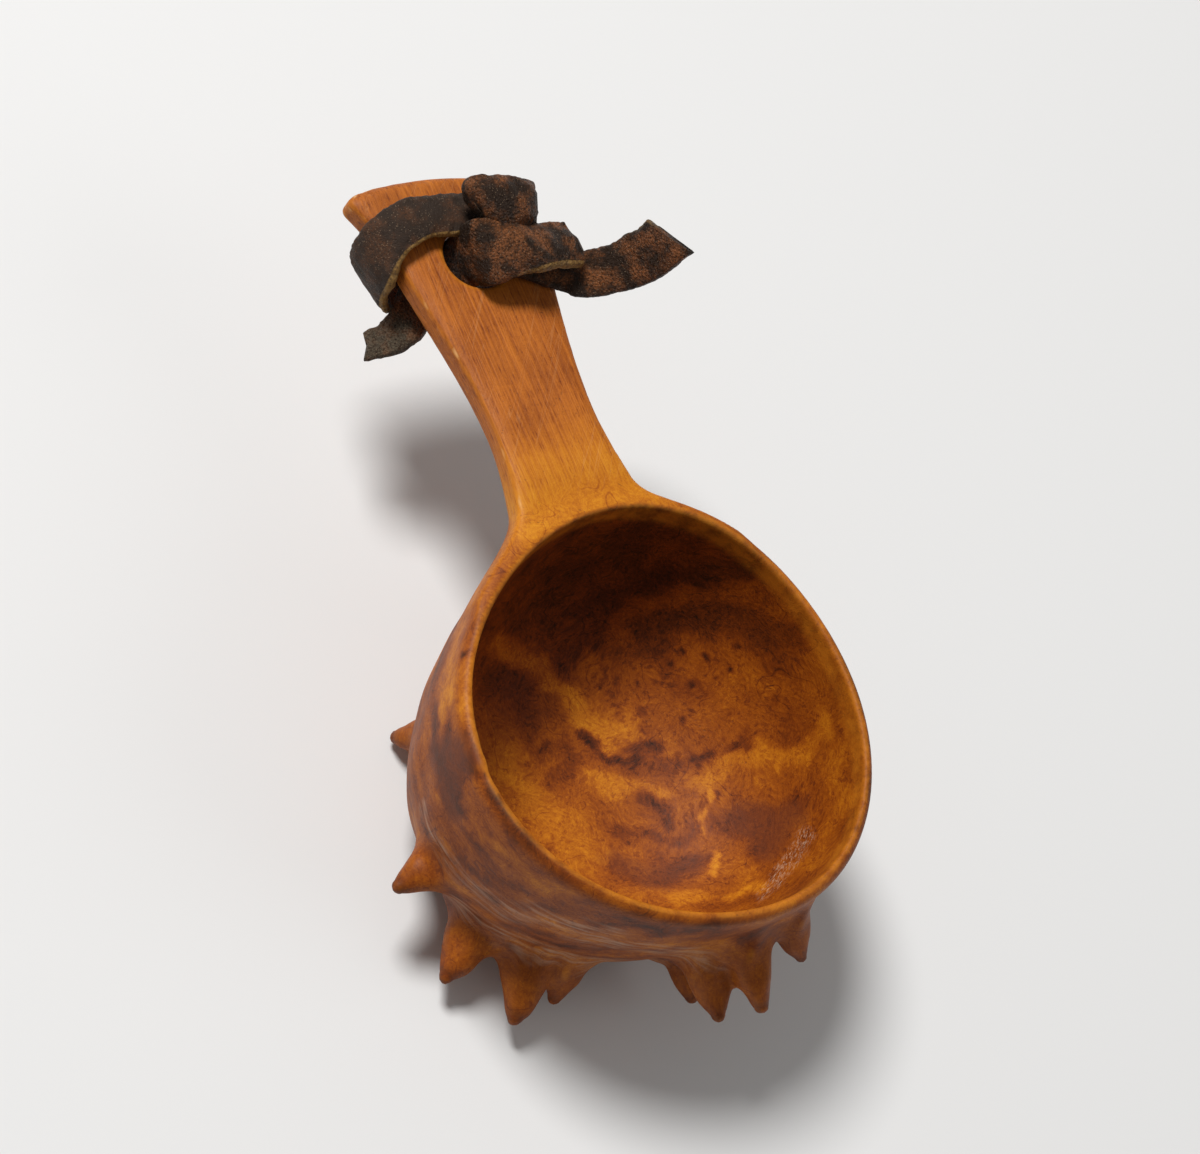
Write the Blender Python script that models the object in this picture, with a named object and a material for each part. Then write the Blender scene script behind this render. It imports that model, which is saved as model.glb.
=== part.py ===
# Drinking cup carved from one burl, with a flat handle, thorny underside and a knotted leather thong.
# Metres, +Z up. The cup stands on z = 0 with the origin under the centre of its mouth.
# The handle points along -X.

import math

import bmesh
import bpy
import numpy as np
from mathutils import Vector

MM = 0.001

# Bowl
RIM_HEIGHT = 52.0 * MM
MOUTH_RADIUS = 40.0 * MM
RIM_WALL = 2.6 * MM
LIP_ROUND = 0.8 * MM
RIM_LOBE = 1.15 * MM
RIM_LOBE_TURN = math.radians(104.0)
OUTER_ROUND_DEPTH = 57.0 * MM
OUTER_SQUARENESS = 2.56
INNER_DEPTH = 43.0 * MM
INNER_SQUARENESS = 2.6
BODY_LEAN = Vector((5.0 * MM, -4.6 * MM))
FRONT_DRAW_IN = 3.0 * MM
FRONT_DIRECTION = math.radians(-21.0)

# Handle, measured from the centre of the mouth
HANDLE_DROP = 0.3 * MM
HANDLE_THICKNESS = 6.2 * MM
HANDLE_EDGE_SQUARENESS = 4.5
ROOT_UNDER_SQUARENESS = 1.7
ROOT_REACH = 30.0 * MM
ROOT_DEPTH = 26.0 * MM
NECK_REACH = 46.0 * MM
NECK_WIDTH = 26.4 * MM
NECK_EXTRA_DEPTH = 2.4 * MM
WAIST_REACH = 61.0 * MM
WAIST_WIDTH = 22.7 * MM
END_WIDTH = 40.0 * MM
END_CORNER = 3.0 * MM
END_SIDE_SHIFT = -2.0 * MM
END_BOW_RADIUS = 62.0 * MM
END_BOW_SIDE = -7.0 * MM

# Eye for the thong
EYE_REACH = 96.5 * MM
EYE_RADIUS = 6.6 * MM
EYE_EDGE_ROUND = 0.7 * MM
EYE_WIDTH = 32.2 * MM
EYE_TO_END = 18.6 * MM

# Thorns of the burl: direction round the bowl in degrees, depth below the rim as a share of its height,
# length and foot radius as shares of the largest, and droop.
# The first nine are on the side that faces the viewer, and the rest are on the back.
THORN_LENGTH = 15.0 * MM
THORN_FOOT = 7.6 * MM
THORNS = (
    (-134, 0.8365, 0.5667, 0.6970, 0.5),
    (-82, 0.6346, 0.6000, 0.7879, -0.1),
    (-61, 0.8077, 0.8667, 0.9697, -0.2),
    (-41, 0.8077, 1.0000, 1.0000, -0.2),
    (-28, 0.7788, 0.6667, 0.6970, 0.6),
    (12, 0.7308, 0.7000, 0.6667, 0.0),
    (6, 0.5096, 0.9000, 0.9091, 0.1),
    (12, 0.3750, 1.0000, 0.7879, 0.3),
    (24, 0.3173, 0.7667, 0.7273, 0.6),
    (58, 0.6923, 0.7667, 0.8182, 0.1),
    (92, 0.7692, 0.8000, 0.8788, 0.0),
    (124, 0.6923, 0.7000, 0.7576, 0.1),
    (158, 0.8077, 0.6667, 0.7576, 0.2),
)
THORN_TIP_RADIUS = 1.4 * MM
THORN_ROOT_SINK = 3.5 * MM
THORN_FLOOR_GAP = 0.4 * MM
THORN_TAPER = 0.95
WALL_NORMAL_STEP = 0.2 * MM

# Thong: a flat strip
THONG_WIDTH = 8.6 * MM
THONG_THICKNESS = 2.0 * MM
THONG_EDGE = 0.5 * MM
THONG_STEP = 1.9 * MM

# Route of the thong in millimetres from the eye's centre at the handle's top face, and its roll in degrees.
# Hanging tail, up the eye, two turns of the knot, over the near edge, up the eye again, standing tail.
THONG_ROUTE = (
    (7.8, -20.9, -15.4, 20), (7.7, -16.8, -13.6, 16), (5.9, -12.9, -12.1, 8), (2.4, -9.6, -11.3, 0),
    (0.3, -6.7, -10.2, 0), (0, -4.3, -7.9, 0), (0, -2.8, -4.4, 0), (0.2, -2.6, -0.8, 0),
    (1.2, -2.8, 2.7, 0), (2.8, -2.3, 6, -6), (3.7, 1, 8.7, -14), (3.9, 5.6, 9.7, -16),
    (3.9, 10.8, 9.1, -12), (3.8, 15.4, 7.5, -4), (3.5, 17.7, 5.7, 0), (3, 15.8, 4.4, 0),
    (2.3, 11.8, 4.3, 0), (0.5, 8, 4.7, 0), (-3.4, 4.2, 5, 0), (-6.1, 0.9, 6.2, -10),
    (-6.8, -1.4, 8.9, -22), (-5.8, 0.6, 11.5, -27), (-5.4, 4.8, 12.2, -30), (-5.7, 9, 10.9, -30),
    (-7.1, 12.2, 7.9, -24), (-8.6, 13, 4.6, -8), (-9, 11, 2, 0), (-8.7, 6.6, 1.45, 0),
    (-8.5, 1, 1.8, 0), (-8.4, -5, 2.8, 0), (-8.1, -11, 3.7, 4), (-6.9, -17.2, 3.2, 14),
    (-5.2, -20.9, -0.6, 18), (-4.2, -20.6, -6, 16), (-4, -17.9, -11.2, 8), (-3.9, -13.4, -14.9, 0),
    (-2.7, -8.3, -15.9, 0), (-1.1, -3.4, -14.6, 0), (-0.4, 0.5, -11.5, 0), (-0.2, 2.4, -7.4, 0),
    (0, 2.7, -2.6, 0), (0.6, 3.8, 1.2, 0), (1.8, 7, 2.2, 0), (4.2, 11.4, 1.6, 0),
    (6.8, 16.4, 1.5, 0), (9, 21.2, 2.6, 0), (10.3, 25.8, 6, 0), (10.9, 29, 11, 0),
    (11, 31.2, 17.2, 0),
)
# The thong swings about the strip of wood between the eye and the handle's near edge.
SWING_AXIS_SIDE = -11.3 * MM

# Facets
BOWL_SEGMENTS = 48
OUTER_RINGS = 15
INNER_RINGS = 13
HANDLE_STATIONS = 22
HANDLE_POINTS = 22
THORN_SIDES = 10
THORN_RINGS = 5
THORN_DOME_ANGLES = (40, 72)
EYE_SEGMENTS = 28
END_CORNER_ANGLES = (35, 62, 90)
CURVE_SAMPLES = 24
SKIN_SAMPLES = 4

HANDLE_TOP = RIM_HEIGHT - HANDLE_DROP
HANDLE_REACH = EYE_REACH + EYE_TO_END


def clear_scene():
    for old in list(bpy.data.objects):
        bpy.data.objects.remove(old, do_unlink=True)


def material(name, colour, roughness):
    made = bpy.data.materials.new(name)
    made.use_nodes = True
    shader = made.node_tree.nodes["Principled BSDF"]
    shader.inputs["Base Color"].default_value = (*colour, 1.0)
    shader.inputs["Roughness"].default_value = roughness
    shader.inputs["Metallic"].default_value = 0.0
    return made


def loft(name, rings):
    """Closed skin through rings of equal point count, with a fan over the first and last ring."""
    mesh = bmesh.new()
    rows = [[mesh.verts.new(p) for p in ring] for ring in rings]
    count = len(rows[0])
    for lower, upper in zip(rows, rows[1:]):
        for i in range(count):
            j = (i + 1) % count
            mesh.faces.new((lower[i], lower[j], upper[j], upper[i]))
    for row in (rows[0], rows[-1]):
        middle = mesh.verts.new(sum((v.co for v in row), Vector()) / count)
        for i in range(count):
            mesh.faces.new((row[i], row[(i + 1) % count], middle))
    bmesh.ops.recalc_face_normals(mesh, faces=mesh.faces)
    data = bpy.data.meshes.new(name)
    mesh.to_mesh(data)
    mesh.free()
    made = bpy.data.objects.new(name, data)
    bpy.context.scene.collection.objects.link(made)
    return made


def boolean(target, tool, operation):
    step = target.modifiers.new(tool.name, "BOOLEAN")
    step.operation = operation
    step.object = tool
    step.solver = "EXACT"
    tool.hide_render = True
    tool.display_type = "WIRE"


def smooth(made):
    made.data.shade_smooth()
    made.data.set_sharp_from_angle(angle=math.radians(40))


def eased(points, at):
    """Smooth curve through (position, value) points, flat where the values turn."""
    xs = np.array([p[0] for p in points])
    ys = np.array([p[1] for p in points])
    run = np.diff(xs)
    rise = np.diff(ys) / run
    slope = np.zeros(len(xs))
    slope[0] = rise[0]
    slope[-1] = rise[-1]
    same = rise[:-1] * rise[1:] > 0
    slope[1:-1][same] = 2 * rise[:-1][same] * rise[1:][same] / (rise[:-1][same] + rise[1:][same])
    k = min(max(int(np.searchsorted(xs, at)) - 1, 0), len(run) - 1)
    t = (at - xs[k]) / run[k]
    start = (1 + 2 * t) * (1 - t) ** 2 * ys[k] + t * (1 - t) ** 2 * run[k] * slope[k]
    finish = t * t * (3 - 2 * t) * ys[k + 1] + t * t * (t - 1) * run[k] * slope[k + 1]
    return float(start + finish)


def bowl_point(turn, depth, radius, round_depth, squareness):
    """Point of a lobed, leaning superellipse bowl; the front is drawn in between rim and foot."""
    share = min(depth / round_depth, 1.0)
    fall = (1.0 - share ** squareness) ** (1.0 / squareness)
    lobed = radius + RIM_LOBE * math.cos(3 * turn - RIM_LOBE_TURN)
    front = max(0.0, math.cos(turn - FRONT_DIRECTION)) ** 4
    reach = lobed * fall - FRONT_DRAW_IN * front * math.sin(math.pi * share)
    lean = BODY_LEAN * (depth / OUTER_ROUND_DEPTH)
    return Vector((reach * math.cos(turn) + lean.x, reach * math.sin(turn) + lean.y, RIM_HEIGHT - depth))


def outer_point(turn, depth):
    return bowl_point(turn, depth, MOUTH_RADIUS + RIM_WALL, OUTER_ROUND_DEPTH, OUTER_SQUARENESS)


def bowl_ring(depth, radius, round_depth, squareness):
    turns = [2 * math.pi * i / BOWL_SEGMENTS for i in range(BOWL_SEGMENTS)]
    return [bowl_point(t, depth, radius, round_depth, squareness) for t in turns]


def outer_body():
    """Outside of the bowl, from the rounded lip down to the flat foot it stands on."""
    radius = MOUTH_RADIUS + RIM_WALL
    rings = [bowl_ring(0.0, radius - LIP_ROUND, OUTER_ROUND_DEPTH, OUTER_SQUARENESS)]
    for i in range(OUTER_RINGS):
        share = math.sin(0.5 * math.pi * i / (OUTER_RINGS - 1))
        depth = LIP_ROUND + (RIM_HEIGHT - LIP_ROUND) * share
        rings.append(bowl_ring(depth, radius, OUTER_ROUND_DEPTH, OUTER_SQUARENESS))
    return loft("carved_cup", rings)


def hollow():
    """Space inside the bowl, flared at the lip and open above it."""
    flare = bowl_ring(0.0, MOUTH_RADIUS + LIP_ROUND, INNER_DEPTH, INNER_SQUARENESS)
    rings = [[p + Vector((0, 0, RIM_WALL)) for p in flare], flare]
    for i in range(INNER_RINGS):
        share = math.sin(0.5 * math.pi * (i + 0.001) / INNER_RINGS)
        depth = LIP_ROUND + (INNER_DEPTH - LIP_ROUND) * share
        rings.append(bowl_ring(depth, MOUTH_RADIUS, INNER_DEPTH, INNER_SQUARENESS))
    return loft("hollow", rings)


def handle():
    """Flat handle lofted along X through the root, neck, waist and eye to a bowed, slightly lopsided end."""
    rim = MOUTH_RADIUS + RIM_WALL
    chord = 2 * math.sqrt(rim ** 2 - ROOT_REACH ** 2) - 2 * RIM_WALL
    widths = (
        (ROOT_REACH, chord),
        (NECK_REACH, NECK_WIDTH),
        (WAIST_REACH, WAIST_WIDTH),
        (EYE_REACH, EYE_WIDTH),
        (HANDLE_REACH, END_WIDTH),
    )
    depths = (
        (ROOT_REACH, ROOT_DEPTH),
        (NECK_REACH, HANDLE_THICKNESS + NECK_EXTRA_DEPTH),
        (WAIST_REACH, HANDLE_THICKNESS),
        (HANDLE_REACH, HANDLE_THICKNESS),
    )
    roundness = (
        (ROOT_REACH, ROOT_UNDER_SQUARENESS),
        (WAIST_REACH, HANDLE_EDGE_SQUARENESS),
        (HANDLE_REACH, HANDLE_EDGE_SQUARENESS),
    )
    rings = []
    straight = HANDLE_REACH - END_CORNER
    step = (straight - ROOT_REACH) / HANDLE_STATIONS
    reaches = [ROOT_REACH + step * i for i in range(HANDLE_STATIONS + 1)]
    reaches += [straight + END_CORNER * math.sin(math.radians(a)) for a in END_CORNER_ANGLES]
    for reach in reaches:
        past = max(0.0, reach - straight)
        trim = END_CORNER - math.sqrt(max(END_CORNER ** 2 - past ** 2, 0.0))
        half_width = eased(widths, reach) / 2 - trim
        over = HANDLE_THICKNESS / 2 - trim * HANDLE_THICKNESS / (4 * END_CORNER)
        below = over + eased(depths, reach) - HANDLE_THICKNESS
        under = eased(roundness, reach)
        outward = max(0.0, (reach - EYE_REACH) / EYE_TO_END) ** 2
        ring = []
        for i in range(HANDLE_POINTS):
            angle = 2 * math.pi * (i + 0.5) / HANDLE_POINTS
            c = math.cos(angle)
            s = math.sin(angle)
            power = HANDLE_EDGE_SQUARENESS if s > 0 else under
            y = half_width * math.copysign(abs(c) ** (2 / power), c) + END_SIDE_SHIFT * outward
            z = (over if s > 0 else below) * math.copysign(abs(s) ** (2 / power), s)
            bow = outward * (y - END_BOW_SIDE) ** 2 / (2 * END_BOW_RADIUS)
            ring.append(Vector((bow - reach, y, HANDLE_TOP - HANDLE_THICKNESS / 2 + z)))
        rings.append(ring)
    return loft("handle", rings)


def eye():
    """Through-hole with eased edges at both faces of the handle."""
    top = HANDLE_TOP
    under = HANDLE_TOP - HANDLE_THICKNESS
    profile = (
        (top + EYE_EDGE_ROUND, 2 * EYE_EDGE_ROUND),
        (top - EYE_EDGE_ROUND, 0.0),
        (under + EYE_EDGE_ROUND, 0.0),
        (under - EYE_EDGE_ROUND, 2 * EYE_EDGE_ROUND),
    )
    rings = []
    for height, flare in profile:
        ring = []
        for i in range(EYE_SEGMENTS):
            angle = 2 * math.pi * i / EYE_SEGMENTS
            radius = EYE_RADIUS + flare
            ring.append(Vector((radius * math.cos(angle) - EYE_REACH, radius * math.sin(angle), height)))
        rings.append(ring)
    return loft("eye", rings)


def thorn(index, turn_degrees, depth_share, length_share, foot_share, droop):
    """Blunt thorn that flares into the bowl, along the wall's normal turned down by the droop."""
    turn = math.radians(turn_degrees)
    depth = depth_share * RIM_HEIGHT
    step = WALL_NORMAL_STEP
    along = outer_point(turn + step / MOUTH_RADIUS, depth) - outer_point(turn - step / MOUTH_RADIUS, depth)
    down = outer_point(turn, depth + step) - outer_point(turn, depth - step)
    normal = down.cross(along).normalized()
    if normal.dot(Vector((math.cos(turn), math.sin(turn), 0.0))) < 0:
        normal = -normal
    base = outer_point(turn, depth)
    reach = length_share * THORN_LENGTH - THORN_TIP_RADIUS
    tip = base + (normal + Vector((0, 0, -droop))).normalized() * reach
    tip.z = max(tip.z, THORN_FLOOR_GAP + THORN_TIP_RADIUS)
    axis = (tip - base).normalized()
    side = axis.orthogonal().normalized()
    other = axis.cross(side)
    root = base - axis * THORN_ROOT_SINK
    length = (tip - root).length
    flare = foot_share * THORN_FOOT - THORN_TIP_RADIUS
    stations = []
    for i in range(THORN_RINGS):
        share = i / (THORN_RINGS - 1)
        stations.append((length * share, THORN_TIP_RADIUS + flare * (1 - share) ** THORN_TAPER))
    for angle in THORN_DOME_ANGLES:
        a = math.radians(angle)
        stations.append((length + THORN_TIP_RADIUS * math.sin(a), THORN_TIP_RADIUS * math.cos(a)))
    rings = []
    for reach, radius in stations:
        centre = root + axis * reach
        ring = []
        for k in range(THORN_SIDES):
            angle = 2 * math.pi * k / THORN_SIDES
            ring.append(centre + (side * math.cos(angle) + other * math.sin(angle)) * radius)
        rings.append(ring)
    return loft(f"thorn_{index}", rings)


def carved_cup():
    cup = outer_body()
    boolean(cup, handle(), "UNION")
    for index, values in enumerate(THORNS, start=1):
        boolean(cup, thorn(index, *values), "UNION")
    boolean(cup, hollow(), "DIFFERENCE")
    boolean(cup, eye(), "DIFFERENCE")
    cup.data.materials.append(material("burl_wood", (0.40, 0.155, 0.040), 0.42))
    smooth(cup)
    return cup


def thong_stations():
    """Points, width and thickness directions at even steps along the route's smooth curve, and its length."""
    way = np.array(THONG_ROUTE) * (MM, MM, MM, math.radians(1.0))
    padded = np.vstack([2 * way[0] - way[1], way, 2 * way[-1] - way[-2]])
    t = np.linspace(0, 1, CURVE_SAMPLES, endpoint=False)[:, None]
    curve = []
    for a, b, c, d in zip(padded, padded[1:], padded[2:], padded[3:]):
        cubic = 2 * b + (c - a) * t + (2 * a - 5 * b + 4 * c - d) * t ** 2 + (3 * b - a - 3 * c + d) * t ** 3
        curve.append(0.5 * cubic)
    curve = np.vstack(curve + [way[-1:]])
    travelled = np.concatenate([[0.0], np.cumsum(np.linalg.norm(np.diff(curve[:, :3], axis=0), axis=1))])
    count = int(round(travelled[-1] / THONG_STEP)) + 1
    even = np.linspace(0, travelled[-1], count)
    points = np.stack([np.interp(even, travelled, curve[:, k]) for k in range(3)], axis=1)
    roll = np.interp(even, travelled, curve[:, 3])[:, None]
    heading = np.gradient(points, axis=0)
    heading /= np.linalg.norm(heading, axis=1)[:, None]
    across = np.array([1.0, 0.0, 0.0]) - heading * heading[:, :1]
    across /= np.linalg.norm(across, axis=1)[:, None]
    lift = np.cross(across, heading)
    rolled = across * np.cos(roll) + lift * np.sin(roll)
    return points, rolled, np.cross(rolled, heading), travelled[-1]


def least_self_gap(rings):
    """Least distance between surface points of stretches more than two widths apart along the strip."""
    around = np.array(rings)
    between = np.linspace(0.0, 1.0, SKIN_SAMPLES, endpoint=False)[None, None, :, None]
    onward = np.roll(around, -1, axis=1)
    skin = around[:, :, None, :] * (1 - between) + onward[:, :, None, :] * between
    skin = skin.reshape(len(around), -1, 3)
    apart = int(round(2 * THONG_WIDTH / THONG_STEP))
    least = math.inf
    for i in range(len(skin) - apart):
        gap = skin[i + apart:].reshape(-1, 1, 3) - skin[i][None, :, :]
        least = min(least, float(np.linalg.norm(gap, axis=2).min()))
    return least


def leather_thong():
    points, across, lift, length = thong_stations()
    half_width = THONG_WIDTH / 2
    half_depth = THONG_THICKNESS / 2
    edge = THONG_EDGE
    section = (
        (half_width, half_depth - edge), (half_width - edge, half_depth),
        (edge - half_width, half_depth), (-half_width, half_depth - edge),
        (-half_width, edge - half_depth), (edge - half_width, -half_depth),
        (half_width - edge, -half_depth), (half_width, edge - half_depth),
    )
    pivot = Vector((-EYE_REACH, SWING_AXIS_SIDE, HANDLE_TOP - HANDLE_THICKNESS / 2))
    shift = Vector((-EYE_REACH, 0.0, HANDLE_TOP)) - pivot
    rings = []
    for p, a, n in zip(points, across, lift):
        rings.append([Vector(p + a * u + n * v) + shift for u, v in section])
    thong = loft("leather_thong", rings)
    thong.location = pivot
    thong.data.materials.append(material("dark_leather", (0.045, 0.026, 0.018), 0.62))
    smooth(thong)
    print(f"thong length {length * 1000:.1f} mm, least self-gap {least_self_gap(rings) * 1000:.2f} mm")
    return thong


clear_scene()
carved_cup()
leather_thong()
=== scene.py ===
import math

import bpy
import numpy as np
from mathutils import Matrix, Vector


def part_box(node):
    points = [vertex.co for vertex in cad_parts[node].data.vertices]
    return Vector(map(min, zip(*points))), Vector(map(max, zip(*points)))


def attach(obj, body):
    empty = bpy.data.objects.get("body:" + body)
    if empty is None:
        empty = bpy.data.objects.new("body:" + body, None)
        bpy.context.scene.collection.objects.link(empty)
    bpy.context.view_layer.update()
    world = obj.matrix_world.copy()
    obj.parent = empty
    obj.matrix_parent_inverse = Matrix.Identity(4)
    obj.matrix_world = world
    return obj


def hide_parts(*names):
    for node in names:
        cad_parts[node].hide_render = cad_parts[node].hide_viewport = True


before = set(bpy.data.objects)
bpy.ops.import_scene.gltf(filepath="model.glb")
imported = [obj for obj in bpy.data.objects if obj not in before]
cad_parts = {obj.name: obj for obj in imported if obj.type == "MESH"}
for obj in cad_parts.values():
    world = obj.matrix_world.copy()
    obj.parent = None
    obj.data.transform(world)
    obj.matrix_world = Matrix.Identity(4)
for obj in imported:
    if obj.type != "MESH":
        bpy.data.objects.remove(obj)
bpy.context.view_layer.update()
mm = 0.001
xAxis = np.array([1.0, 0.0, 0.0])
print("frame loaded:", ", ".join(sorted(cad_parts)))


# helpers for meshes

def newPiece(name, points, faces):
    mesh = bpy.data.meshes.new(name)
    mesh.from_pydata((points * mm).tolist(), [], faces)
    mesh.shade_smooth()
    mesh.update()
    piece = bpy.data.objects.new(name, mesh)
    bpy.context.scene.collection.objects.link(piece)
    return piece


def storeMask(piece, name, values):
    layer = piece.data.attributes.new(name, "FLOAT", "POINT")
    layer.data.foreach_set("value", np.asarray(values, np.float32))


# matrix of an object at a place, with the given directions as its axes
def placed(right, up, back, place):
    turn = np.eye(4)
    turn[:3] = np.stack([right, up, back, place], axis=1)
    return Matrix(turn.tolist())


def unit(vectors):
    return vectors / np.linalg.norm(vectors, axis=-1, keepdims=True)


def smoothStep(low, high, x):
    t = np.clip((x - low) / (high - low), 0.0, 1.0)
    return t * t * (3.0 - 2.0 * t)


# rises from a to b and falls from c to d
def hump(a, b, c, d, x):
    return smoothStep(a, b, x) * smoothStep(d, c, x)


# waves of seeded directions, added up: a smooth random value from about -1 to 1 over space
def ripple(points, wavelength, seed, count=9, spread=(0.7, 1.5)):
    draw = np.random.default_rng(seed)
    aim = unit(draw.normal(size=(count, 3)))
    pace = 2.0 * np.pi / (wavelength * draw.uniform(*spread, count))
    phase = draw.uniform(0.0, 2.0 * np.pi, count)
    total = sum(np.sin(points @ (aim[i] * pace[i]) + phase[i]) for i in range(count))
    return total / math.sqrt(count)


# three ripples as one vector, to bend a pattern
def wander(points, wavelength, amount, seed):
    return amount * np.stack([ripple(points, wavelength, seed + k) for k in range(3)], axis=1)


# monotone cubic through (position, value) pairs
def eased(pairs, at):
    xs, ys = np.array(pairs).T
    run = np.diff(xs)
    rise = np.diff(ys) / run
    slope = np.concatenate([rise[:1], np.zeros(len(xs) - 2), rise[-1:]])
    both = rise[:-1] * rise[1:] > 0
    slope[1:-1][both] = (2 * rise[:-1] * rise[1:])[both] / (rise[:-1] + rise[1:])[both]
    at = np.clip(at, xs[0], xs[-1])
    k = np.clip(np.searchsorted(xs, at) - 1, 0, len(run) - 1)
    t = (at - xs[k]) / run[k]
    start = (1 + 2 * t) * (1 - t) ** 2 * ys[k] + t * (1 - t) ** 2 * run[k] * slope[k]
    return start + t * t * (3 - 2 * t) * ys[k + 1] + t * t * (t - 1) * run[k] * slope[k + 1]


# camera: fitted to the rim and the handle in the photo, millimetres, degrees and pixels; clipping in metres

view = {
    "azimuth": 23.665, "elevation": 54.305, "roll": 46.972,
    "distance": 552.79, "across": 13.78, "down": -24.26,
    "lens": 90.0, "sensor": 36.0, "targetHeight": 52.0,
    "clipStart": 0.01, "clipEnd": 20.0,
    "photoWide": 1200, "photoHigh": 1154,
}


# the camera's right, up and back directions, and its place
def cameraAxes():
    a, e, r = (math.radians(view[k]) for k in ("azimuth", "elevation", "roll"))
    back = np.array([math.sin(a) * math.cos(e), -math.cos(a) * math.cos(e), math.sin(e)])
    level = np.array([math.cos(a), math.sin(a), 0.0])
    rise = np.cross(back, level)
    right = level * math.cos(r) + rise * math.sin(r)
    up = rise * math.cos(r) - level * math.sin(r)
    place = back * view["distance"] - right * view["across"] - up * view["down"]
    place[2] += view["targetHeight"]
    return right, up, back, place


def makeCamera():
    right, up, back, place = cameraAxes()
    data = bpy.data.cameras.new("camera")
    data.lens = view["lens"]
    data.sensor_width = view["sensor"]
    data.clip_start = view["clipStart"]
    data.clip_end = view["clipEnd"]
    camera = bpy.data.objects.new("camera", data)
    camera.matrix_world = placed(right, up, back, place * mm)
    bpy.context.scene.collection.objects.link(camera)
    bpy.context.scene.camera = camera


makeCamera()
print("camera set")


# leather thong: a flat strip carried along its route
# route in millimetres from the eye's centre at the handle's top, and the strip's roll in degrees

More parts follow.
